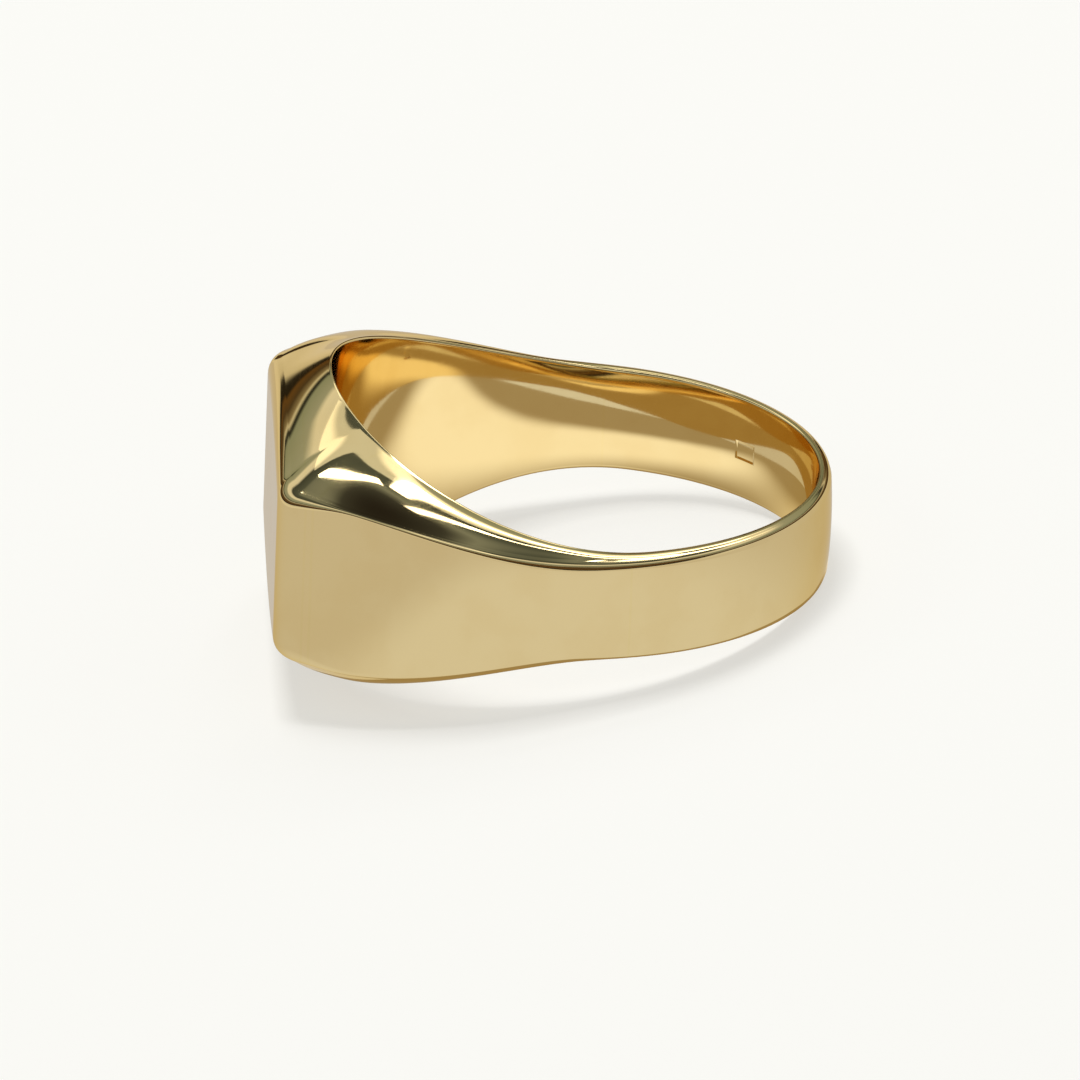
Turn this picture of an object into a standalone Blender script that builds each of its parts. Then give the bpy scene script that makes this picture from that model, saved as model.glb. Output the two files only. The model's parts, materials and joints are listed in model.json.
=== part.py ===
"""Signet ring lying on its side, as a soldered assembly. Metres, +Z up.

The ring is described about its own bore axis. Angles run round that axis from the middle of the
signet face, positive to the ring's left and negative to its right, and heights run along it.
Every cross-section in a plane through the bore axis is the same closed outline: a bore wall that swells
at mid height for comfort, two sloping, faintly bellied cheeks and a faintly crowned outer wall. The pieces are stretches of that one shape, parted at
the soldered joints. At the end the whole ring is leaned until it rests on the lower edge of its head
and on the lower rim at the back of its shank, which is how it lies on a table.
"""

import math

import bmesh
import bpy
from mathutils import Matrix, Vector

MM = 0.001

# Finger hole and head
BORE_RADIUS = 9.5 * MM  # at the edges of the bore
BORE_SWELL = 0.2 * MM  # how far the bore wall stands proud at mid height
HEAD_DEPTH = 2.2 * MM  # bore wall to signet face, on the centre line
FACE_FLAT = 12.7 * MM  # flat of the face, across the finger
FACE_HEIGHT = 6.8 * MM  # face at its corners, and flank, along the finger
FACE_ARCH = 0.55 * MM  # how far each long edge of the face rises from its corners to its middle
HEAD_WIDTH = 11.6 * MM  # bore wall behind the face, along the finger
CORNER_RADIUS = 1.6 * MM  # upright corners between face and flanks
FLANK_ANGLE = math.radians(37)  # flank against the ring's long axis, where it leaves the corner

# Shoulders
FLANK_REACH = 6.6 * MM  # how far the flank runs nearly straight out of the corner
SHANK_REACH = 2.4 * MM  # how far the shank's curve carries on into the shoulder
TAPER_START = math.radians(40)
TAPER_END = math.radians(90)
CHEEK_END = math.radians(106)  # where the sloping cheeks have run out
HEAD_BELLY = 0.03  # how far a cheek stands proud of flat at mid width, as a share of that width
SHOULDER_BELLY = 0.09
BELLY_START = math.radians(18)
BELLY_END = math.radians(45)

# Shank
SHANK_START = math.radians(92)
SIDE_WALL = 0.93 * MM
BACK_WALL = 0.48 * MM
SHANK_WIDTH = 4.2 * MM  # bore wall, along the finger
SHANK_OUTER_WIDTH = 4.0 * MM  # outer wall, along the finger

# Edges
BORE_EDGE = 0.15 * MM
FACE_CREASE = 0.3 * MM
CREASE = 0.12 * MM
SHANK_CREASE = 0.26 * MM
CROWN = 0.09 * MM  # how far the outer wall of the shank bulges
EDGE_STEPS = 2
SHARP_ANGLE = math.radians(25)
WALL_ROWS = (0.55, 0.0, -0.55)  # rows of points on a crowned wall, as shares of its half height
BORE_ROWS = (-0.75, -0.45, 0.0, 0.45, 0.75)
CHEEK_ROWS = (0.2, 0.5, 0.8)  # rows of points on a cheek, as shares of its width from the bore

# Joints
PLATE_THICKNESS = 1.0 * MM
SOLDER = 0.08 * MM
FIT = 0.02 * MM  # between a soldered face and its solder
HEAD_JOINT = math.radians(38)
SHANK_JOINT = math.radians(100)
ANGLE_STEP = math.radians(3.6)  # between cross-sections
CORNER_STEP = math.radians(0.7)  # between cross-sections round an upright corner
HALVINGS = 40  # of an interval, to meet a curve at an angle

# Stamped panel in the bore wall
STAMP_ANGLE = math.radians(139)
STAMP_LENGTH = 1.1 * MM
STAMP_HEIGHT = 0.8 * MM
STAMP_DEPTH = 0.1 * MM

FACE_X = -(BORE_RADIUS + HEAD_DEPTH)
GOLD = ((0.83, 0.63, 0.29, 1.0), 0.12)
SOLDER_GOLD = ((0.86, 0.72, 0.42, 1.0), 0.22)


# ---------------------------------------------------------------- shape of the ring


def smooth(t):
    """0 below 0, 1 above 1, and an S between them."""
    t = min(max(t, 0.0), 1.0)
    return t * t * (3 - 2 * t)


def ray_to_circle(direction, centre, radius):
    """Distance from the bore axis along a direction to the far side of a circle round it."""
    along = direction.dot(centre)
    return along + math.sqrt(radius**2 - centre.length_squared + along**2)


def bezier(points, t):
    """Point at t of a cubic with these four control points."""
    a, b, c, d = points
    s = 1 - t
    return s**3 * a + 3 * s * s * t * b + 3 * s * t * t * c + t**3 * d


def angle_of(point):
    return math.atan2(point.y, -point.x)


class Plan:
    """Outer outline of the ring seen along its bore axis, one side of its centre line."""

    def __init__(self):
        turn = math.pi / 2 - FLANK_ANGLE
        flank_way = Vector((math.cos(FLANK_ANGLE), math.sin(FLANK_ANGLE)))
        self.corner = Vector((FACE_X + CORNER_RADIUS, FACE_FLAT / 2))
        self.face_end = Vector((FACE_X, FACE_FLAT / 2))
        self.flank_start = self.corner + CORNER_RADIUS * Vector((-math.cos(turn), math.sin(turn)))
        # A circle that stands off the bore by one wall at the side and by another at the back
        side, back = BORE_RADIUS + SIDE_WALL, BORE_RADIUS + BACK_WALL
        self.shank_radius = (side**2 + back**2) / (2 * back)
        self.shank_centre = Vector((back - self.shank_radius, 0.0))
        shank_ray = Vector((-math.cos(SHANK_START), math.sin(SHANK_START)))
        shank_point = shank_ray * ray_to_circle(shank_ray, self.shank_centre, self.shank_radius)
        spoke = (shank_point - self.shank_centre).normalized()
        shank_way = Vector((spoke.y, -spoke.x))
        self.flank = (
            self.flank_start,
            self.flank_start + FLANK_REACH * flank_way,
            shank_point - SHANK_REACH * shank_way,
            shank_point,
        )

    def radius(self, angle):
        """Distance from the bore axis to the outer wall at an angle."""
        angle = abs(angle)
        ray = Vector((-math.cos(angle), math.sin(angle)))
        if angle <= angle_of(self.face_end):
            return -FACE_X / math.cos(angle)
        if angle < angle_of(self.flank_start):
            return ray_to_circle(ray, self.corner, CORNER_RADIUS)
        if angle >= SHANK_START:
            return ray_to_circle(ray, self.shank_centre, self.shank_radius)
        low, high = 0.0, 1.0
        for _ in range(HALVINGS):
            middle = (low + high) / 2
            if angle_of(bezier(self.flank, middle)) < angle:
                low = middle
            else:
                high = middle
        return bezier(self.flank, low).length


PLAN = Plan()
CORNER_FROM = angle_of(PLAN.face_end)
CORNER_TO = angle_of(PLAN.flank_start)


def rounded_corner(before, corner, after, reach):
    """Points that replace a corner of an outline by a curve which starts and ends reach from it."""
    start = corner + (before - corner).normalized() * reach
    end = corner + (after - corner).normalized() * reach
    points = []
    for step in range(EDGE_STEPS + 1):
        t = step / EDGE_STEPS
        points.append((1 - t) ** 2 * start + 2 * t * (1 - t) * corner + t * t * end)
    return points


def cross_section(angle):
    """Closed outline as (distance from the bore axis, height) points, starting on the bore wall."""
    turn = abs(angle)
    out = PLAN.radius(turn)
    taper = smooth((turn - TAPER_START) / (TAPER_END - TAPER_START))
    outer = (FACE_HEIGHT + (SHANK_OUTER_WIDTH - FACE_HEIGHT) * taper) / 2
    flare = (1 + math.cos(math.pi * min(turn / CHEEK_END, 1.0))) / 2
    inner = (SHANK_WIDTH + (HEAD_WIDTH - SHANK_WIDTH) * flare) / 2
    along = math.tan(min(turn, CORNER_FROM)) / math.tan(CORNER_FROM)
    outer += FACE_ARCH * (1 - along**2)
    crown = CROWN * taper
    crease_reach = CREASE + (SHANK_CREASE - CREASE) * taper
    crease_reach += (FACE_CREASE - CREASE) * (1 - smooth((turn - CORNER_FROM) / BELLY_START))
    belly = smooth((turn - BELLY_START) / (BELLY_END - BELLY_START))
    belly = HEAD_BELLY + (SHOULDER_BELLY - HEAD_BELLY) * belly

    inner_top = Vector((BORE_RADIUS, inner))
    outer_top = Vector((out, outer))
    inner_foot = Vector((BORE_RADIUS, -inner))
    outer_foot = Vector((out, -outer))
    edge = rounded_corner(inner_foot, inner_top, outer_top, BORE_EDGE)
    crease = rounded_corner(inner_top, outer_top, outer_foot, crease_reach)
    across = crease[0] - edge[-1]
    proud = Vector((-across.y, across.x)) * (4 * belly)
    cheek = [edge[-1] + across * row + proud * (row * (1 - row)) for row in CHEEK_ROWS]
    top = edge + cheek + crease
    foot = [Vector((point.x, -point.y)) for point in reversed(top)]
    wall = [Vector((out + crown * (1 - row**2), outer * row)) for row in WALL_ROWS]
    half = edge[0].y
    bore = [Vector((BORE_RADIUS - BORE_SWELL * (1 - row**2), half * row)) for row in BORE_ROWS]
    return top + wall + foot + bore


def place(angle, point):
    """A cross-section's point in space."""
    return Vector((-point.x * math.cos(angle), point.x * math.sin(angle), point.y))


def section_angles(start, end):
    """Angles of the cross-sections between two angles, closer together round the upright corners."""
    corners = (-CORNER_TO, -CORNER_FROM, CORNER_FROM, CORNER_TO)
    breaks = [start] + [corner for corner in corners if start < corner < end] + [end]
    angles = [start]
    for low, high in zip(breaks, breaks[1:]):
        at_corner = CORNER_FROM < abs(low + high) / 2 < CORNER_TO
        steps = math.ceil((high - low) / (CORNER_STEP if at_corner else ANGLE_STEP))
        angles += [low + (high - low) * (step + 1) / steps for step in range(steps)]
    return angles


def stretch(start, end):
    """The ring between two angles, as one closed mesh: its cross-sections bridged and capped."""
    shape = bmesh.new()
    loops = []
    for angle in section_angles(start, end):
        points = [shape.verts.new(place(angle, point)) for point in cross_section(angle)]
        loops.append([shape.edges.new(pair) for pair in zip(points, points[1:] + points[:1])])
    for loop, following in zip(loops, loops[1:]):
        bmesh.ops.bridge_loops(shape, edges=loop + following)
    for loop in (loops[0], loops[-1]):
        bmesh.ops.contextual_create(shape, geom=loop)
    bmesh.ops.recalc_face_normals(shape, faces=shape.faces)
    return shape


def slice_off(shape, x, keep_face_side):
    """Cuts a shape on the plane at x, square to the face's axis, and caps the cut."""
    side = 1.0 if keep_face_side else -1.0
    everything = shape.verts[:] + shape.edges[:] + shape.faces[:]
    cut = bmesh.ops.bisect_plane(
        shape, geom=everything, plane_co=(x, 0, 0), plane_no=(side, 0, 0), clear_outer=True
    )
    rim = [item for item in cut["geom_cut"] if isinstance(item, bmesh.types.BMEdge)]
    bmesh.ops.contextual_create(shape, geom=rim)
    bmesh.ops.recalc_face_normals(shape, faces=shape.faces)


# ---------------------------------------------------------------- objects


def gold(name, look):
    """A metal material of one colour and roughness."""
    colour, roughness = look
    material = bpy.data.materials.new(name)
    material.use_nodes = True
    shader = material.node_tree.nodes["Principled BSDF"]
    shader.inputs["Base Color"].default_value = colour
    shader.inputs["Metallic"].default_value = 1.0
    shader.inputs["Roughness"].default_value = roughness
    return material


def add_piece(name, shape, material, parent):
    """Turns a bmesh into a named object under the ring's axis."""
    mesh = bpy.data.meshes.new(name)
    shape.to_mesh(mesh)
    shape.free()
    mesh.materials.append(material)
    mesh.shade_smooth()
    mesh.set_sharp_from_angle(angle=SHARP_ANGLE)
    piece = bpy.data.objects.new(name, mesh)
    piece.parent = parent
    bpy.context.scene.collection.objects.link(piece)
    return piece


def head_pieces(parent, metal, solder):
    """The plate that takes the engraving, the block behind it and the solder between them."""
    reach = HEAD_JOINT - (SOLDER / 2 + FIT) / BORE_RADIUS
    plate_back = FACE_X + PLATE_THICKNESS
    solder_back = plate_back + FIT + SOLDER

    plate = stretch(-reach, reach)
    slice_off(plate, plate_back, True)
    add_piece("signet_plate", plate, metal, parent)

    film = stretch(-reach, reach)
    slice_off(film, plate_back + FIT, False)
    slice_off(film, solder_back, True)
    add_piece("plate_solder", film, solder, parent)

    block = stretch(-reach, reach)
    slice_off(block, solder_back + FIT, False)
    add_piece("head_block", block, metal, parent)


def side_pieces(parent, metal, solder, side, hand):
    """One shoulder with the solder at each of its ends. hand is 1 on the left and -1 on the right."""
    joint_half = SOLDER / 2 / BORE_RADIUS
    gap = joint_half + FIT / BORE_RADIUS

    def between(low, high):
        return stretch(*sorted((hand * low, hand * high)))

    shoulder = between(HEAD_JOINT + gap, SHANK_JOINT - gap)
    add_piece(f"shoulder_{side}", shoulder, metal, parent)
    for name, joint in (("head", HEAD_JOINT), ("shank", SHANK_JOINT)):
        film = between(joint - joint_half, joint + joint_half)
        add_piece(f"{name}_solder_{side}", film, solder, parent)


def stamp_cutter(parent):
    """A block that sinks the stamped panel into the bore wall."""
    shape = bmesh.new()
    bmesh.ops.create_cube(shape, size=1.0)
    depth = 4 * STAMP_DEPTH
    bmesh.ops.scale(shape, verts=shape.verts, vec=(depth, STAMP_LENGTH, STAMP_HEIGHT))
    mesh = bpy.data.meshes.new("stamp_cutter")
    shape.to_mesh(mesh)
    shape.free()
    cutter = bpy.data.objects.new("stamp_cutter", mesh)
    cutter.parent = parent
    cutter.rotation_euler.z = math.pi - STAMP_ANGLE
    cutter.location = place(STAMP_ANGLE, Vector((BORE_RADIUS - BORE_SWELL + STAMP_DEPTH - depth / 2, 0.0)))
    cutter.hide_render = True
    cutter.display_type = "WIRE"
    bpy.context.scene.collection.objects.link(cutter)
    return cutter


def shank_piece(parent, metal):
    """The narrow band round the back of the finger, with its stamped panel."""
    reach = SHANK_JOINT + (SOLDER / 2 + FIT) / BORE_RADIUS
    shank = add_piece("shank", stretch(reach, 2 * math.pi - reach), metal, parent)
    sink = shank.modifiers.new("stamped_panel", "BOOLEAN")
    sink.operation = "DIFFERENCE"
    sink.solver = "EXACT"
    sink.object = stamp_cutter(parent)


# ---------------------------------------------------------------- how it lies


def resting_lean(points):
    """Angle about Y that brings the head's lowest point and the shank's lowest point level."""
    head = min((p for p in points if p.x < 0), key=lambda p: p.z)
    lean = 0.0
    for _ in range(3):
        turn = Matrix.Rotation(lean, 3, "Y")
        back = min((p for p in points if p.x > 0), key=lambda p: (turn @ p).z)
        lean = math.atan2(back.z - head.z, back.x - head.x)
    return lean


def set_down(axis):
    """Leans the ring and stands it on Z = 0, centred over the origin."""
    points = [v.co for piece in axis.children if not piece.hide_render for v in piece.data.vertices]
    turn = Matrix.Rotation(resting_lean(points), 3, "Y")
    leaned = [turn @ point for point in points]
    low = Vector([min(p[i] for p in leaned) for i in range(3)])
    high = Vector([max(p[i] for p in leaned) for i in range(3)])
    axis.rotation_euler = turn.to_euler()
    axis.location = (-(low.x + high.x) / 2, -(low.y + high.y) / 2, -low.z)


def main():
    for old in list(bpy.data.objects):
        bpy.data.objects.remove(old, do_unlink=True)
    metal = gold("polished_gold", GOLD)
    solder = gold("gold_solder", SOLDER_GOLD)
    axis = bpy.data.objects.new("ring_axis", None)
    bpy.context.scene.collection.objects.link(axis)

    head_pieces(axis, metal, solder)
    side_pieces(axis, metal, solder, "left", 1)
    side_pieces(axis, metal, solder, "right", -1)
    shank_piece(axis, metal)
    set_down(axis)


main()
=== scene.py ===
"""Looks of a polished gold signet ring that lies on its side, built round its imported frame.

Metres, +Z up. The ring is described about its own bore axis. Angles run round that axis from the middle
of the signet face, positive to the ring's left and negative to its right, and heights run along it. One
finely sectioned skin of the whole ring is stretched over its sections, and every piece is cut from it at
the soldered joints, so that neighbours meet flush and shade as one surface.
"""

import json
import logging
import math
from dataclasses import dataclass
from enum import Enum

import bmesh
import bpy
from mathutils import Matrix, Vector


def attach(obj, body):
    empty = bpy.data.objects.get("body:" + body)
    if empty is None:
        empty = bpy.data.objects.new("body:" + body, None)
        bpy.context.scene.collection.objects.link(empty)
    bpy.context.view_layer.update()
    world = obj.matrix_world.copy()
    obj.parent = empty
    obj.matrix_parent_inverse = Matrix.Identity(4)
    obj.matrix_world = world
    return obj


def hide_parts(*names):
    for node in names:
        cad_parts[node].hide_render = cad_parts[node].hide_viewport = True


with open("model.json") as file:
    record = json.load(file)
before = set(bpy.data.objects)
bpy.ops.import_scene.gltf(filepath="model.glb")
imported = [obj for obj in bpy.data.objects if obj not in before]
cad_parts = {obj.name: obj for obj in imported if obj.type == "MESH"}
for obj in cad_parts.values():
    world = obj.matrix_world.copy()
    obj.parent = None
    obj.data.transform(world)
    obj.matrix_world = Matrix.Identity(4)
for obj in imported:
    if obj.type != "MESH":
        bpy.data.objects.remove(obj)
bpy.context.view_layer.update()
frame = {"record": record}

MM = 0.001
FULL_TURN = 2 * math.pi
ROUNDING = 1e-6  # share of a step that is put down to rounding
CUT_END = 1  # material index that marks a flat cut end until the piece is dressed
RING_MIDDLE = Vector((0.0, 0.0, 4 * MM))  # what the softboxes are aimed at
LOG = logging.getLogger("signet_ring")


# ---------------------------------------------------------------- shader maths


class Level:
    """A number that varies over a surface: one output socket, whose arithmetic adds Math nodes."""

    def __init__(self, bench: "ShaderBench", socket: bpy.types.NodeSocket) -> None:
        """Wraps a socket.

        Args:
            bench: where further nodes are added.
            socket: the output that carries the number.
        """
        self.bench = bench
        self.socket = socket

    def _combine(self, operation: str, first: "Level | float", second: "Level | float") -> "Level":
        """Adds one Math node.

        Args:
            operation: the node's operation.
            first: its first input.
            second: its second input.

        Returns:
            The result.
        """
        node = self.bench.add("ShaderNodeMath", {"operation": operation}, {0: first, 1: second})
        return Level(self.bench, node.outputs[0])

    def __add__(self, other: "Level | float") -> "Level":
        """Sum."""
        return self._combine("ADD", self, other)

    def __radd__(self, other: float) -> "Level":
        """Sum with the number on the left."""
        return self._combine("ADD", other, self)

    def __sub__(self, other: "Level | float") -> "Level":
        """Difference."""
        return self._combine("SUBTRACT", self, other)

    def __rsub__(self, other: float) -> "Level":
        """Difference from a number."""
        return self._combine("SUBTRACT", other, self)

    def __mul__(self, other: "Level | float") -> "Level":
        """Product."""
        return self._combine("MULTIPLY", self, other)

    def __rmul__(self, other: float) -> "Level":
        """Product with the number on the left."""
        return self._combine("MULTIPLY", other, self)


class ShaderBench:
    """The node tree of one material, with one method that adds any node to it."""

    def __init__(self, tree: bpy.types.NodeTree) -> None:
        """Takes a tree and clears it.

        Args:
            tree: the material's own node tree.
        """
        self.tree = tree
        tree.nodes.clear()

    def add(self, kind: str, settings: dict | None = None, sockets: dict | None = None) -> bpy.types.Node:
        """Adds a node.

        Args:
            kind: the node's type.
            settings: its properties, set first; "stops" fills a ramp with (position, colour) pairs.
            sockets: values or links for its inputs, by name or number.

        Returns:
            The new node.
        """
        node = self.tree.nodes.new(kind)
        for name, value in (settings or {}).items():
            if name == "stops":
                self._fill_ramp(node.color_ramp, value)
            else:
                setattr(node, name, value)
        for key, value in (sockets or {}).items():
            source = value.socket if isinstance(value, Level) else value
            if isinstance(source, bpy.types.NodeSocket):
                self.tree.links.new(source, node.inputs[key])
            else:
                node.inputs[key].default_value = source
        return node

    @staticmethod
    def _fill_ramp(ramp: bpy.types.ColorRamp, stops: list) -> None:
        """Sets a ramp's stops.

        Args:
            ramp: the ramp, which has two stops when it is new.
            stops: (position, colour) pairs in rising order.
        """
        for index, (position, colour) in enumerate(stops):
            stop = ramp.elements[index] if index < 2 else ramp.elements.new(position)
            stop.position = position
            stop.color = colour

    def level(self, node: bpy.types.Node, output: str | int = 0) -> Level:
        """One output of a node as a number for arithmetic."""
        return Level(self, node.outputs[output])


# ---------------------------------------------------------------- finishes


@dataclass(frozen=True)
class PolishedGold:
    """Mirror-polished yellow gold with the faint marks that a wheel and wear leave."""

    name: str = "polished_gold"
    colour: tuple = (0.93, 0.742, 0.385, 1.0)
    worn_colour: tuple = (0.91, 0.715, 0.36, 1.0)
    edge_tint: tuple = (0.95, 0.82, 0.55, 1.0)
    shine: float = 0.045  # roughness of the brightest polish
    smear: float = 0.03  # added where fingers and cloths have dulled it
    hairline: float = 0.02  # added along fine polishing lines
    ripple: float = 0.0000022  # depth of the wheel's slow waves
    grain: float = 0.00000006  # depth of the finest marks
    smear_scale: float = 380.0  # of each pattern, in noise cells per metre
    ripple_scale: float = 620.0
    grain_scale: float = 9000.0
    hairline_scale: float = 14000.0
    hairline_stretch: float = 0.12  # of the lines round the ring, against along its axis

    def material(self) -> bpy.types.Material:
        """Builds the finish.

        Returns:
            The material.
        """
        made = bpy.data.materials.new(self.name)
        made.use_nodes = True
        bench = ShaderBench(made.node_tree)
        where = bench.add("ShaderNodeTexCoord").outputs["Object"]
        cloud = bench.add(
            "ShaderNodeTexNoise", None, {"Vector": where, "Scale": self.smear_scale, "Detail": 3.0}
        )
        waves = bench.add(
            "ShaderNodeTexNoise",
            None,
            {"Vector": where, "Scale": self.ripple_scale, "Detail": 1.0, "Roughness": 0.4},
        )
        marks = bench.add(
            "ShaderNodeTexNoise",
            None,
            {"Vector": where, "Scale": self.grain_scale, "Detail": 2.0, "Roughness": 0.6},
        )
        stretch = (self.hairline_stretch, self.hairline_stretch, 1.0)
        drawn = bench.add("ShaderNodeMapping", None, {"Vector": where, "Scale": stretch})
        lines = bench.add(
            "ShaderNodeTexNoise",
            None,
            {"Vector": drawn.outputs[0], "Scale": self.hairline_scale, "Detail": 2.0, "Roughness": 0.5},
        )
        smear = bench.add(
            "ShaderNodeMapRange",
            {"interpolation_type": "SMOOTHSTEP"},
            {"Value": cloud.outputs[0], "From Min": 0.42, "From Max": 0.66},
        )
        hair = bench.add(
            "ShaderNodeMapRange",
            {"interpolation_type": "SMOOTHSTEP"},
            {"Value": lines.outputs[0], "From Min": 0.55, "From Max": 0.7},
        )
        smeared = bench.level(smear)
        haired = bench.level(hair)
        colour = bench.add(
            "ShaderNodeMix",
            {"data_type": "RGBA"},
            {"Factor": smeared, 6: self.colour, 7: self.worn_colour},
        )
        slow = bench.add(
            "ShaderNodeBump", None, {"Height": waves.outputs[0], "Distance": self.ripple, "Strength": 1.0}
        )
        fine = bench.add(
            "ShaderNodeBump",
            None,
            {"Height": marks.outputs[0], "Distance": self.grain, "Strength": 1.0, "Normal": slow.outputs[0]},
        )
        shader = bench.add(
            "ShaderNodeBsdfPrincipled",
            None,
            {
                "Base Color": colour.outputs[2],
                "Metallic": 1.0,
                "Specular Tint": self.edge_tint,
                "Roughness": self.shine + smeared * self.smear + haired * self.hairline,
                "Normal": fine.outputs[0],
            },
        )
        bench.add("ShaderNodeOutputMaterial", None, {"Surface": shader.outputs[0]})
        return made


@dataclass(frozen=True)
class SolderGold(PolishedGold):
    """Gold solder, polished flush with its neighbours: a touch paler and softer."""

    name: str = "gold_solder"
    colour: tuple = (0.93, 0.74, 0.37, 1.0)
    worn_colour: tuple = (0.90, 0.71, 0.345, 1.0)
    shine: float = 0.05


@dataclass(frozen=True)
class StudioPaper:
    """Plain pale paper for the floor, part glowing of its own, so that its shadows stay light; on the cards
    its glow is a painted reflection and its pool a painted pool of light.
    """

    name: str = "studio_paper"
    colour: tuple = (0.8, 0.8, 0.8, 1.0)
    glow: tuple = (0.97, 0.96, 0.93, 1.0)
    glow_strength: float = 0.0
    pool: tuple = ()  # half axes of a painted pool of light, an oval outside which the glow is dim, or none for an even glow
    pool_middle: tuple = (0.0, 0.0, 0.0)
    pool_turn: float = 0.0
    pool_edge: float = 0.5  # share of the half axes over which the glow dims
    # glow outside the pool: painted shade round the painted pool of light
    dim_glow: tuple = (0.2, 0.2, 0.2, 1.0)

    def material(self) -> bpy.types.Material:
        """Builds the finish.

        Returns:
            The material.
        """
        made = bpy.data.materials.new(self.name)
        made.use_nodes = True
        bench = ShaderBench(made.node_tree)
        glow = self.glow
        if self.pool:
            where = bench.add("ShaderNodeTexCoord").outputs["Object"]
            scaled = bench.add(
                "ShaderNodeMapping",
                {"vector_type": "TEXTURE"},
                {
                    "Vector": where,
                    "Location": self.pool_middle,
                    "Rotation": (0.0, 0.0, self.pool_turn),
                    "Scale": self.pool,
                },
            )
            share = bench.add("ShaderNodeTexGradient", {"gradient_type": "SPHERICAL"}, {0: scaled.outputs[0]})
            eased = bench.add(
                "ShaderNodeMapRange",
                {"interpolation_type": "SMOOTHSTEP"},
                {"Value": share.outputs["Fac"], "From Max": self.pool_edge},
            )
            glow = bench.add(
                "ShaderNodeMix", {"data_type": "RGBA"}, {0: eased.outputs[0], 6: self.dim_glow, 7: self.glow}
            ).outputs[2]
        paper = bench.add(
            "ShaderNodeBsdfPrincipled",
            None,
            {
                "Base Color": self.colour,
                "Roughness": 1.0,
                "Specular IOR Level": 0.0,
                "Emission Color": glow,
                "Emission Strength": self.glow_strength,
            },
        )
        bench.add("ShaderNodeOutputMaterial", None, {"Surface": paper.outputs[0]})
        return made


# ---------------------------------------------------------------- form of the ring


def smooth(t: float) -> float:
    """0 below 0, 1 above 1, and an S between them."""
    t = min(max(t, 0.0), 1.0)
    return t * t * (3 - 2 * t)


def ray_to_circle(direction: Vector, centre: Vector, radius: float) -> float:
    """Distance from the bore axis along a direction to the far side of a circle round it."""
    along = direction.dot(centre)
    return along + math.sqrt(radius**2 - centre.length_squared + along**2)


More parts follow.
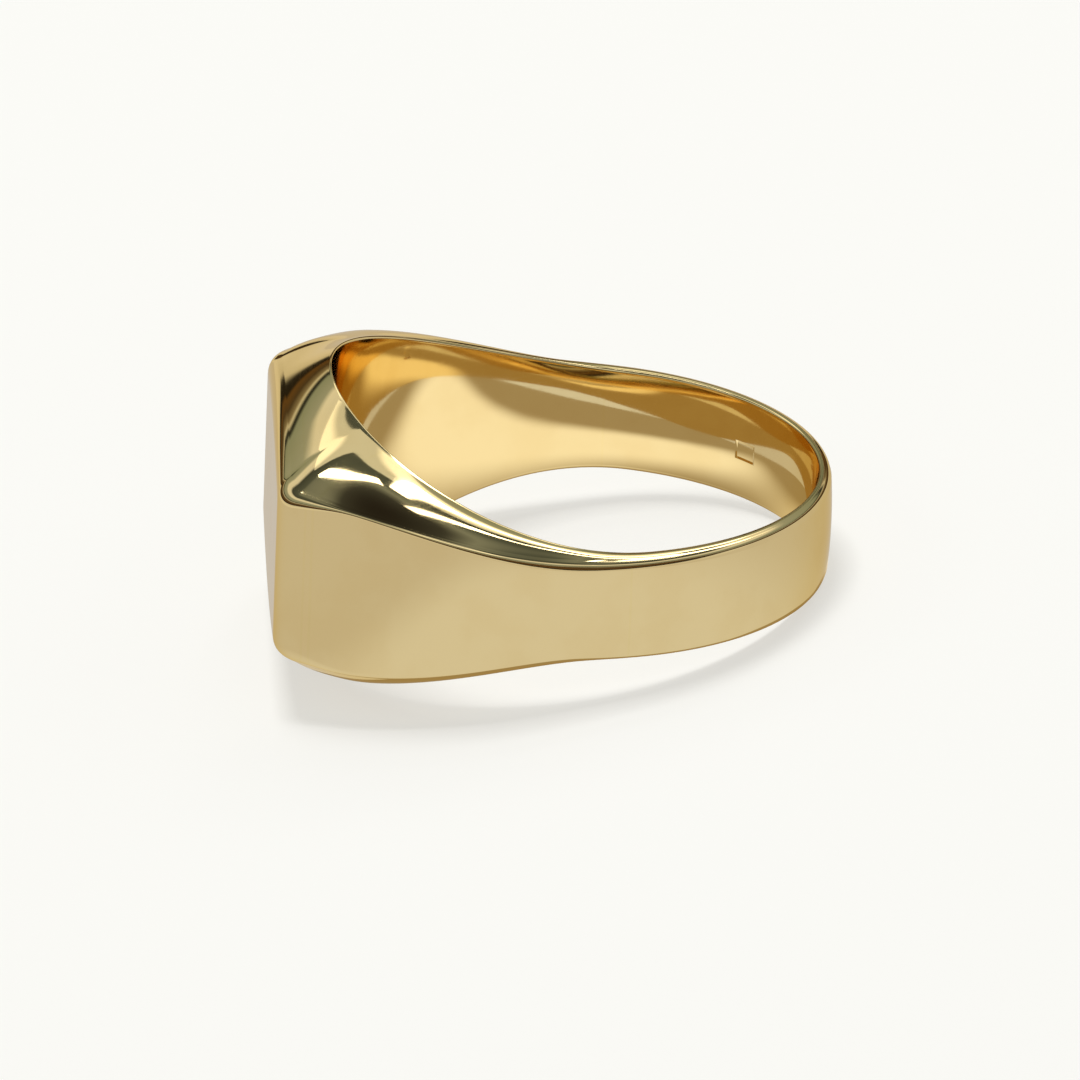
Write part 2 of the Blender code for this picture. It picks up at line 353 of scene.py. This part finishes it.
@dataclass
class RingForm:
    """Every size of the ring, and the outline of its section at any angle."""

    bore_radius: float = 9.5 * MM
    head_depth: float = 2.2 * MM
    face_flat: float = 12.7 * MM
    face_height: float = 6.8 * MM
    face_arch: float = 0.55 * MM  # how far the face's long edges rise from their corners to their middle
    head_width: float = 11.6 * MM
    corner_radius: float = 1.6 * MM
    flank_angle: float = math.radians(37)
    flank_reach: float = 6.6 * MM
    shank_reach: float = 2.4 * MM
    taper_start: float = math.radians(40)
    taper_end: float = math.radians(90)
    cheek_end: float = math.radians(106)
    shank_start: float = math.radians(92)
    side_wall: float = 0.93 * MM
    back_wall: float = 0.48 * MM
    shank_width: float = 4.2 * MM
    shank_outer_width: float = 4.0 * MM
    bore_swell: float = 0.2 * MM  # how far the bore wall stands proud at mid height, for comfort
    bore_edge: float = 0.15 * MM
    face_crease: float = 0.6 * MM
    crease: float = 0.12 * MM
    shank_crease: float = 0.26 * MM
    crown: float = 0.09 * MM
    head_belly: float = 0.03  # how far a cheek stands proud of flat at mid width, as a share of that width
    shoulder_belly: float = 0.09
    belly_start: float = math.radians(18)
    belly_end: float = math.radians(45)
    edge_steps: int = 7
    cheek_rows: int = 14
    bore_rows: tuple = (0.985, 0.92, 0.8, 0.65, 0.5, 0.35, 0.2, 0.0)
    wall_rows: tuple = (0.985, 0.93, 0.8, 0.6, 0.4, 0.2, 0.0)
    row_margin: float = 0.03  # share of a cheek's width between an edge and the row that guards it
    halvings: int = 40  # of the flank's curve, when a point on it is looked for

    def __post_init__(self) -> None:
        """Works out the outline seen along the bore axis."""
        self.face_x = -(self.bore_radius + self.head_depth)
        turn = math.pi / 2 - self.flank_angle
        flank_way = Vector((math.cos(self.flank_angle), math.sin(self.flank_angle)))
        self.corner = Vector((self.face_x + self.corner_radius, self.face_flat / 2))
        face_end = Vector((self.face_x, self.face_flat / 2))
        flank_start = self.corner + self.corner_radius * Vector((-math.cos(turn), math.sin(turn)))
        side, back = self.bore_radius + self.side_wall, self.bore_radius + self.back_wall
        self.shank_curve = (side**2 + back**2) / (2 * back)
        self.shank_centre = Vector((back - self.shank_curve, 0.0))
        ray = Vector((-math.cos(self.shank_start), math.sin(self.shank_start)))
        shank_point = ray * ray_to_circle(ray, self.shank_centre, self.shank_curve)
        spoke = (shank_point - self.shank_centre).normalized()
        shank_way = Vector((spoke.y, -spoke.x))
        self.flank = (
            flank_start,
            flank_start + self.flank_reach * flank_way,
            shank_point - self.shank_reach * shank_way,
            shank_point,
        )
        self.corner_from = self._angle_of(face_end)
        self.corner_to = self._angle_of(flank_start)

    @staticmethod
    def _angle_of(point: Vector) -> float:
        """Angle of a point round the bore axis."""
        return math.atan2(point.y, -point.x)

    def _flank_point(self, t: float) -> Vector:
        """Point at t of the flank's curve."""
        a, b, c, d = self.flank
        s = 1 - t
        return s**3 * a + 3 * s * s * t * b + 3 * s * t * t * c + t**3 * d

    def outer_radius(self, angle: float) -> float:
        """Distance from the bore axis to the outer wall.

        Args:
            angle: round the bore axis, from the middle of the face.

        Returns:
            The distance, in metres.
        """
        angle = min(abs(angle), FULL_TURN - abs(angle))
        ray = Vector((-math.cos(angle), math.sin(angle)))
        if angle <= self.corner_from:
            return -self.face_x / math.cos(angle)
        if angle < self.corner_to:
            return ray_to_circle(ray, self.corner, self.corner_radius)
        if angle >= self.shank_start:
            return ray_to_circle(ray, self.shank_centre, self.shank_curve)
        low, high = 0.0, 1.0
        for _ in range(self.halvings):
            middle = (low + high) / 2
            if self._angle_of(self._flank_point(middle)) < angle:
                low = middle
            else:
                high = middle
        return self._flank_point(low).length

    @staticmethod
    def _rounded(before: Vector, corner: Vector, after: Vector, reach: float, steps: int) -> list[Vector]:
        """Points that replace a corner of an outline.

        Args:
            before: the outline's point before the corner.
            corner: the corner.
            after: the outline's point after it.
            reach: where the curve starts and ends, from the corner.
            steps: how many straight runs the curve has.

        Returns:
            The curve's points.
        """
        start = corner + (before - corner).normalized() * reach
        end = corner + (after - corner).normalized() * reach
        points = []
        for step in range(steps + 1):
            t = step / steps
            points.append((1 - t) ** 2 * start + 2 * t * (1 - t) * corner + t * t * end)
        return points

    def section(self, angle: float) -> list[Vector]:
        """Closed outline of the ring in a plane through the bore axis.

        Args:
            angle: round the bore axis, from the middle of the face.

        Returns:
            Points as (distance from the axis, height), starting on the bore wall's upper edge.
        """
        turn = min(abs(angle), FULL_TURN - abs(angle))
        out = self.outer_radius(turn)
        taper = smooth((turn - self.taper_start) / (self.taper_end - self.taper_start))
        outer = (self.face_height + (self.shank_outer_width - self.face_height) * taper) / 2
        flare = (1 + math.cos(math.pi * min(turn / self.cheek_end, 1.0))) / 2
        inner = (self.shank_width + (self.head_width - self.shank_width) * flare) / 2
        crown = self.crown * taper
        along = min(math.tan(min(turn, self.corner_from)) / math.tan(self.corner_from), 1.0)
        outer += self.face_arch * (1 - along * along)
        reach = self.crease + (self.shank_crease - self.crease) * taper
        reach += (self.face_crease - self.crease) * (1 - smooth((turn - self.corner_from) / self.belly_start))

        inner_top, outer_top = Vector((self.bore_radius, inner)), Vector((out, outer))
        inner_foot, outer_foot = Vector((self.bore_radius, -inner)), Vector((out, -outer))
        edge = self._rounded(inner_foot, inner_top, outer_top, self.bore_edge, self.edge_steps)
        crease = self._rounded(inner_top, outer_top, outer_foot, reach, self.edge_steps)
        across = crease[0] - edge[-1]
        belly = smooth((turn - self.belly_start) / (self.belly_end - self.belly_start))
        belly = self.head_belly + (self.shoulder_belly - self.head_belly) * belly
        proud = Vector((-across.y, across.x)) * (4 * belly)
        cheek = []
        for row in range(1, self.cheek_rows):
            t = self.row_margin + (1 - 2 * self.row_margin) * (row - 1) / (self.cheek_rows - 2)
            cheek.append(edge[-1] + across * t + proud * (t * (1 - t)))
        top = edge + cheek + crease
        foot = [Vector((point.x, -point.y)) for point in reversed(top)]
        half = crease[-1].y
        rows = self.wall_rows + tuple(-row for row in reversed(self.wall_rows[:-1]))
        wall = [Vector((out + crown * (1 - (row * half / outer) ** 2), half * row)) for row in rows]
        base = crown * (1 - (half / outer) ** 2)
        top[-1] = top[-1] + Vector((base, 0.0))
        foot[0] = foot[0] + Vector((base, 0.0))
        half = edge[0].y
        rows = tuple(-row for row in self.bore_rows) + tuple(reversed(self.bore_rows[:-1]))
        bore = [Vector((self.bore_radius - self.bore_swell * (1 - row * row), half * row)) for row in rows]
        return top + wall + foot + bore

    @staticmethod
    def place(angle: float, point: Vector) -> Vector:
        """A section's point in space, about the bore axis."""
        return Vector((-point.x * math.cos(angle), point.x * math.sin(angle), point.y))


@dataclass
class Joints:
    """Where the soldered joints lie and how thick their films are."""

    plate_thickness: float = 1.0 * MM
    film: float = 0.08 * MM
    head_angle: float = math.radians(38)
    shank_angle: float = math.radians(100)

    def half_film(self, form: RingForm) -> float:
        """Half a film, as an angle at the bore wall."""
        return self.film / 2 / form.bore_radius


@dataclass
class RestingPlace:
    """How the ring lies: the turn and shift from its own axis to where it rests."""

    record: dict
    face_x: float

    def matrix(self) -> Matrix:
        """Reads the signet face's place from the record.

        Returns:
            The matrix that takes a point about the bore axis to where it rests.
        """
        face = next(mount for mount in self.record["mounts"] if mount["name"] == "signet_face")
        lean = math.atan2(face["axis"][2], -face["axis"][0])
        turn = Matrix.Rotation(lean, 4, "Y")
        shift = Vector(face["pos_m"]) - turn @ Vector((self.face_x, 0.0, 0.0))
        return Matrix.Translation(shift) @ turn


# ---------------------------------------------------------------- skin and pieces


@dataclass
class Skin:
    """The whole ring's surface, from which every piece is cut."""

    form: RingForm
    joints: Joints
    angle_step: float = math.radians(0.9)
    corner_step: float = math.radians(0.3)
    stamp_angle: float = math.radians(139)
    stamp_length: float = 1.1 * MM
    stamp_height: float = 0.8 * MM
    stamp_depth: float = 0.035 * MM
    stamp_slope: float = 0.07 * MM
    stamp_guard: float = 0.015 * MM  # flat strip on either side of the slope

    def __post_init__(self) -> None:
        """Stretches the skin over its sections and keeps its normals."""
        self.mesh = bmesh.new()
        self.normal = self.mesh.verts.layers.float_vector.new("skin_normal")
        self._stretch()
        self._stamp()
        bmesh.ops.recalc_face_normals(self.mesh, faces=self.mesh.faces)
        self.mesh.normal_update()
        for vert in self.mesh.verts:
            vert[self.normal] = vert.normal

    def _angles(self) -> list[float]:
        """Angles of the sections, once round, with every joint and corner among them."""
        half = self.joints.half_film(self.form)
        marks = [0.0, self.form.corner_from, self.form.corner_to]
        for joint in (self.joints.head_angle, self.joints.shank_angle):
            marks += [joint - half, joint + half]
        marks.append(math.pi)
        marks += [FULL_TURN - mark for mark in reversed(marks[:-1])]
        reach = self.stamp_length / 2 / self.form.bore_radius
        marks += [self.stamp_angle - reach, self.stamp_angle, self.stamp_angle + reach]
        marks.sort()
        angles = []
        for low, high in zip(marks, marks[1:]):
            middle = min((low + high) / 2, FULL_TURN - (low + high) / 2)
            at_corner = self.form.corner_from < middle < self.form.corner_to
            step_size = self.corner_step if at_corner else self.angle_step
            steps = math.ceil((high - low) / step_size - ROUNDING)
            angles += [low + (high - low) * step / steps for step in range(steps)]
        return angles

    def _stretch(self) -> None:
        """Bridges the sections all the way round."""
        loops = []
        for angle in self._angles():
            points = [
                self.mesh.verts.new(self.form.place(angle, point)) for point in self.form.section(angle)
            ]
            loops.append([self.mesh.edges.new(pair) for pair in zip(points, points[1:] + points[:1])])
        for loop, following in zip(loops, loops[1:] + loops[:1]):
            bmesh.ops.bridge_loops(self.mesh, edges=loop + following)

    def _stamp(self) -> None:
        """Sinks a blank stamped panel into the bore wall."""
        reach = self.stamp_length / 2 / self.form.bore_radius
        faces = []
        for face in self.mesh.faces:
            middle = face.calc_center_median()
            on_bore = math.hypot(middle.x, middle.y) < self.form.bore_radius
            angle = math.atan2(middle.y, -middle.x)
            if on_bore and abs(angle - self.stamp_angle) < reach and abs(middle.z) < self.stamp_height / 2:
                faces.append(face)
        bmesh.ops.recalc_face_normals(self.mesh, faces=self.mesh.faces)
        for thickness, depth in (
            (self.stamp_guard, 0.0),
            (self.stamp_slope, -self.stamp_depth),
            (self.stamp_guard, 0.0),
        ):
            bmesh.ops.inset_region(
                self.mesh, faces=faces, thickness=thickness, depth=depth, use_even_offset=True
            )

    def cut(
        self,
        low: float,
        high: float,
        behind: float | None = None,
        ahead: float | None = None,
    ) -> bmesh.types.BMesh:
        """One piece of the ring.

        Args:
            low: angle where it starts.
            high: angle where it ends.
            behind: if given, the piece keeps only what is further back than this X.
            ahead: if given, the piece keeps only what is nearer the face than this X.

        Returns:
            A closed mesh, whose cut ends are marked with CUT_END.
        """
        piece = self.mesh.copy()
        outside = []
        middle, reach = (low + high) / 2, (high - low) / 2
        for face in piece.faces:
            centre = face.calc_center_median()
            away = math.remainder(math.atan2(centre.y, -centre.x) - middle, FULL_TURN)
            if abs(away) > reach:
                outside.append(face)
        bmesh.ops.delete(piece, geom=outside, context="FACES")
        for x, way in ((behind, -1.0), (ahead, 1.0)):
            if x is not None:
                everything = piece.verts[:] + piece.edges[:] + piece.faces[:]
                bmesh.ops.bisect_plane(
                    piece, geom=everything, plane_co=(x, 0, 0), plane_no=(way, 0, 0), clear_outer=True
                )
        rims = [edge for edge in piece.edges if edge.is_boundary]
        caps = bmesh.ops.holes_fill(piece, edges=rims, sides=0)["faces"]
        for cap in caps:
            cap.material_index = CUT_END
        bmesh.ops.recalc_face_normals(piece, faces=piece.faces)
        return piece


@dataclass
class Workshop:
    """Turns cut meshes into finished pieces that ride on the frame."""

    place: Matrix
    gold: bpy.types.Material
    solder: bpy.types.Material
    pieces: int = 0

    def finish(self, name: str, shape: bmesh.types.BMesh, node: str, soldered: bool = False) -> None:
        """Makes a piece, lays it where it rests and lets it stand for its node.

        Args:
            name: the piece's name.
            shape: its closed mesh about the bore axis, which is used up.
            node: the frame's node that it stands for.
            soldered: whether it is a film of solder.
        """
        layer = shape.verts.layers.float_vector["skin_normal"]
        bmesh.ops.transform(shape, matrix=self.place, verts=shape.verts)
        turn = self.place.to_3x3()
        shape.normal_update()
        normals = []
        for face in shape.faces:
            capped = face.material_index == CUT_END
            face.material_index = 0
            face.smooth = True
            for corner in face.loops:
                kept = (turn @ corner.vert[layer]).normalized()
                normals.append(face.normal.copy() if capped else kept)
        mesh = bpy.data.meshes.new(name)
        shape.to_mesh(mesh)
        shape.free()
        mesh.attributes.remove(mesh.attributes["skin_normal"])
        mesh.normals_split_custom_set(normals)
        mesh.materials.append(self.solder if soldered else self.gold)
        piece = bpy.data.objects.new(name, mesh)
        bpy.context.scene.collection.objects.link(piece)
        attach(piece, "root")
        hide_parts(node)
        self.pieces += 1
        LOG.info("%s: %d faces", name, len(mesh.polygons))


class Side(Enum):
    """The ring's two sides."""

    LEFT = 1
    RIGHT = -1

    @property
    def word(self) -> str:
        """Name used in nodes and pieces."""
        return self.name.lower()

    def span(self, low: float, high: float) -> tuple[float, float]:
        """Angles of a stretch on this side, in rising order."""
        return (low, high) if self is Side.LEFT else (-high, -low)


@dataclass
class Head:
    """The plate that takes the engraving, the block behind it and the solder between them."""

    skin: Skin

    def build(self, workshop: Workshop) -> None:
        """Cuts the head's three pieces.

        Args:
            workshop: finishes them.
        """
        joints = self.skin.joints
        reach = joints.head_angle - joints.half_film(self.skin.form)
        plate_back = self.skin.form.face_x + joints.plate_thickness
        film_back = plate_back + joints.film
        plate = self.skin.cut(-reach, reach, ahead=plate_back)
        workshop.finish("signet_plate_polished", plate, "signet_plate")
        film = self.skin.cut(-reach, reach, behind=plate_back, ahead=film_back)
        workshop.finish("plate_solder_seam", film, "plate_solder", soldered=True)
        block = self.skin.cut(-reach, reach, behind=film_back)
        workshop.finish("head_block_polished", block, "head_block")


@dataclass
class Shoulder:
    """One shoulder, with the solder at each of its ends."""

    skin: Skin
    side: Side

    def build(self, workshop: Workshop) -> None:
        """Cuts the shoulder and its two films.

        Args:
            workshop: finishes them.
        """
        joints = self.skin.joints
        half = joints.half_film(self.skin.form)
        word = self.side.word
        shoulder = self.skin.cut(*self.side.span(joints.head_angle + half, joints.shank_angle - half))
        workshop.finish(f"shoulder_{word}_polished", shoulder, f"shoulder_{word}")
        for end, angle in (("head", joints.head_angle), ("shank", joints.shank_angle)):
            film = self.skin.cut(*self.side.span(angle - half, angle + half))
            workshop.finish(f"{end}_solder_{word}_seam", film, f"{end}_solder_{word}", soldered=True)


@dataclass
class Shank:
    """The narrow band round the back of the finger, with its stamped panel."""

    skin: Skin

    def build(self, workshop: Workshop) -> None:
        """Cuts the shank.

        Args:
            workshop: finishes it.
        """
        reach = self.skin.joints.shank_angle + self.skin.joints.half_film(self.skin.form)
        workshop.finish("shank_polished", self.skin.cut(reach, FULL_TURN - reach), "shank")


# ---------------------------------------------------------------- studio


@dataclass
class Softbox:
    """A lit panel that faces the middle of the ring, with its place as seen from there."""

    name: str
    azimuth: float  # degrees: 0 is towards the camera, 90 to the right
    elevation: float
    distance: float
    width: float
    height: float
    brightness: float
    colour: tuple = (1.0, 1.0, 1.0)
    mirrored: bool = True  # whether polished metal shows it

    def build(self) -> None:
        """Adds the light."""
        lamp = bpy.data.lights.new(self.name, "AREA")
        lamp.shape = "RECTANGLE"
        lamp.size, lamp.size_y = self.width, self.height
        lamp.energy = self.brightness * math.pi * self.width * self.height
        lamp.color = self.colour
        box = bpy.data.objects.new(self.name, lamp)
        a, e = math.radians(self.azimuth), math.radians(self.elevation)
        away = Vector((math.sin(a) * math.cos(e), -math.cos(a) * math.cos(e), math.sin(e)))
        turn = away.to_track_quat("Z", "Y").to_matrix().to_4x4()
        box.matrix_world = Matrix.Translation(away * self.distance + RING_MIDDLE) @ turn
        box.visible_camera = False
        box.visible_glossy = self.mirrored
        bpy.context.scene.collection.objects.link(box)


@dataclass
class Floor:
    """The pale floor that the camera sees, and the glowing cards under it that only polished metal sees:
    painted reflections of a lit floor.
    """

    reach: float = 2.0
    seen: StudioPaper = StudioPaper(
        name="floor_paper",
        colour=(0.35, 0.348, 0.335, 1.0),
        glow=(1.0, 0.991, 0.956, 1.0),
        glow_strength=0.588,
    )
    # painted reflection of the lit floor in the gold's flank: a glowing card, brightest in a painted pool of
    # light in front of the ring
    mirrored: StudioPaper = StudioPaper(
        name="floor_reflection_glow",
        colour=(0.05, 0.05, 0.05, 1.0),
        glow=(1.0, 1.0, 1.0, 1.0),
        glow_strength=0.665,
        pool=(22.0 * MM, 22.0 * MM, 22.0 * MM),
        pool_middle=(-1.0 * MM, -16.0 * MM, 0.0),
        dim_glow=(0.84, 0.81, 0.77, 1.0),
    )
    mirrored_reach: float = 0.09
    mirrored_height: float = -0.04 * MM
    # painted reflection of the floor inside the ring: a glowing card with a painted pool of light, fading to
    # a brown rim of painted shade
    bore_card: StudioPaper = StudioPaper(
        name="bore_card",
        colour=(0.05, 0.05, 0.05, 1.0),
        glow=(1.0, 0.97, 0.9, 1.0),
        glow_strength=1.0,
        pool=(10.5 * MM, 4.2 * MM, 10.5 * MM),
        pool_middle=(4.5 * MM, 3.2 * MM, 0.0),
        pool_turn=math.radians(-25),
        dim_glow=(0.34, 0.27, 0.16, 1.0),
    )
    bore_card_reach: float = 10.7 * MM
    bore_card_height: float = -0.02 * MM
    rim_steps: int = 96

    def build(self) -> None:
        """Adds the floor and its cards."""
        self._sheet("floor", self.reach, 0.0, self.seen).visible_glossy = False
        self._card("floor_painted_reflection", self.mirrored_reach, self.mirrored_height, self.mirrored)
        self._card("bore_painted_reflection", self.bore_card_reach, self.bore_card_height, self.bore_card)

    def _card(self, name: str, reach: float, height: float, paper: StudioPaper) -> None:
        """A glowing card that only polished metal sees: a painted reflection.

        Args:
            name: its name.
            reach: its radius.
            height: above the ring's resting plane.
            paper: its finish.
        """
        card = self._sheet(name, reach, height, paper)
        card.visible_camera = False
        card.visible_diffuse = False
        card.visible_shadow = False

    def _sheet(self, name: str, reach: float, height: float, paper: StudioPaper) -> bpy.types.Object:
        """A round sheet that lies level.

        Args:
            name: its name.
            reach: its radius.
            height: above the ring's resting plane.
            paper: its finish.

        Returns:
            The object.
        """
        shape = bmesh.new()
        bmesh.ops.create_circle(shape, cap_ends=True, segments=self.rim_steps, radius=reach)
        bmesh.ops.translate(shape, verts=shape.verts, vec=(0.0, 0.0, height))
        mesh = bpy.data.meshes.new(name)
        shape.to_mesh(mesh)
        shape.free()
        mesh.materials.append(paper.material())
        sheet = bpy.data.objects.new(name, mesh)
        bpy.context.scene.collection.objects.link(sheet)
        return sheet


@dataclass
class Surround:
    """The studio's walls and ceiling: one tone for each height above the table."""

    tones: tuple = (
        # elevation in degrees, colour, brightness
        (-90, (1.0, 0.99, 0.97), 0.66),
        (-3, (1.0, 0.98, 0.93), 0.72),
        (0.5, (1.0, 0.98, 0.93), 0.62),
        (1.5, (0.8, 0.7, 0.6), 0.03),
        (4.5, (0.8, 0.65, 0.5), 0.025),
        (6, (1.0, 0.55, 0.2), 0.12),
        (10, (1.0, 0.7, 0.4), 0.07),
        (14, (1.0, 0.85, 0.6), 0.22),
        (16, (1.0, 0.98, 0.9), 0.6),
        (18, (0.8, 0.9, 0.8), 0.04),
        (19.5, (0.8, 0.9, 0.8), 0.04),
        (21.5, (0.85, 1.0, 0.9), 0.3),
        (32, (0.9, 1.0, 0.95), 0.36),
        (36, (1.0, 1.0, 0.97), 0.75),
        (44, (1.0, 1.0, 0.97), 0.7),
        (48, (0.85, 1.0, 0.95), 0.06),
        (60, (0.85, 1.0, 0.95), 0.1),
        (66, (0.9, 1.0, 0.95), 0.24),
        (72, (0.95, 1.0, 0.95), 0.05),
        (90, (1.0, 0.9, 0.8), 0.02),
    )

    def build(self) -> None:
        """Adds the surround."""
        world = bpy.data.worlds.new("surround")
        world.use_nodes = True
        bench = ShaderBench(world.node_tree)
        way = bench.add("ShaderNodeTexCoord").outputs["Generated"]
        height = bench.level(bench.add("ShaderNodeSeparateXYZ", None, {0: way}), 2)
        stops = []
        for elevation, colour, bright in self.tones:
            share = (math.sin(math.radians(elevation)) + 1) / 2
            stops.append((share, tuple(channel * bright for channel in colour) + (1.0,)))
        tone = bench.add("ShaderNodeValToRGB", {"stops": stops}, {0: height * 0.5 + 0.5})
        glow = bench.add("ShaderNodeBackground", None, {"Color": tone.outputs[0], "Strength": 1.0})
        bench.add("ShaderNodeOutputWorld", None, {"Surface": glow.outputs[0]})
        bpy.context.scene.world = world


@dataclass
class Studio:
    """Plain soft light, a pale floor and its surround."""

    softboxes: tuple = (
        Softbox("key_softbox", 5, 50, 0.9, 0.5, 0.4, 0.5),
        Softbox("top_softbox", 185, 83, 0.9, 0.3, 0.3, 19.5, mirrored=False),
        Softbox("cream_softbox", 173, 46, 0.95, 0.78, 0.31, 0.6, (1.0, 1.0, 0.96)),
        Softbox("upright_strip", 148, 50, 0.9, 0.06, 0.36, 4.0),
        Softbox("bridge_strip", 186, 65, 0.9, 0.42, 0.07, 4.0),
        Softbox("side_strip", 130, 63, 0.9, 0.06, 0.3, 4.0),
    )

    def build(self) -> None:
        """Sets the colours' transform and adds the surround, the floor and the lights."""
        bpy.context.scene.view_settings.view_transform = "Standard"
        Surround().build()
        Floor().build()
        for box in self.softboxes:
            box.build()


@dataclass
class Viewpoint:
    """The camera: a long lens, looking down on the ring and turned a little about its own axis."""

    elevation: float = 22.602
    azimuth: float = 1.302
    roll: float = -9.464
    distance: float = 787.556 * MM
    right: float = 1.2349 * MM  # of the bore's middle, from the middle of the view
    up: float = 1.2106 * MM
    lens: float = 677.5
    sensor: float = 36.0
    near: float = 0.05  # nearest and farthest that the camera sees
    far: float = 10.0

    def build(self, target: Vector) -> None:
        """Adds the camera.

        Args:
            target: the middle of the bore.
        """
        e, a, roll = (math.radians(value) for value in (self.elevation, self.azimuth, self.roll))
        level = Vector((math.cos(a), math.sin(a), 0.0))
        ahead = Vector((-math.sin(a) * math.cos(e), math.cos(a) * math.cos(e), -math.sin(e)))
        upright = level.cross(ahead)
        right = level * math.cos(roll) + upright * math.sin(roll)
        up = upright * math.cos(roll) - level * math.sin(roll)
        turn = Matrix((right, up, -ahead)).transposed().to_4x4()
        where = target - (right * self.right + up * self.up + ahead * self.distance)
        lens = bpy.data.cameras.new("camera")
        lens.lens = self.lens
        lens.sensor_width = self.sensor
        lens.clip_start, lens.clip_end = self.near, self.far
        camera = bpy.data.objects.new("camera", lens)
        camera.matrix_world = Matrix.Translation(where) @ turn
        bpy.context.scene.collection.objects.link(camera)
        bpy.context.scene.camera = camera


def main(record: dict) -> None:
    """Builds the ring and its studio on the frame.

    Args:
        record: the frame's own record.
    """
    logging.basicConfig(level=logging.INFO, format="%(message)s")
    form = RingForm()
    joints = Joints()
    place = RestingPlace(record, form.face_x).matrix()
    skin = Skin(form, joints)
    workshop = Workshop(place, PolishedGold().material(), SolderGold().material())
    parts = (
        Head(skin),
        Shoulder(skin, Side.LEFT),
        Shoulder(skin, Side.RIGHT),
        Shank(skin),
    )
    for part in parts:
        part.build(workshop)
    skin.mesh.free()
    Studio().build()
    Viewpoint().build(place.translation)
    LOG.info("%d pieces", workshop.pieces)


if __name__ == "__main__":
    main(frame["record"])
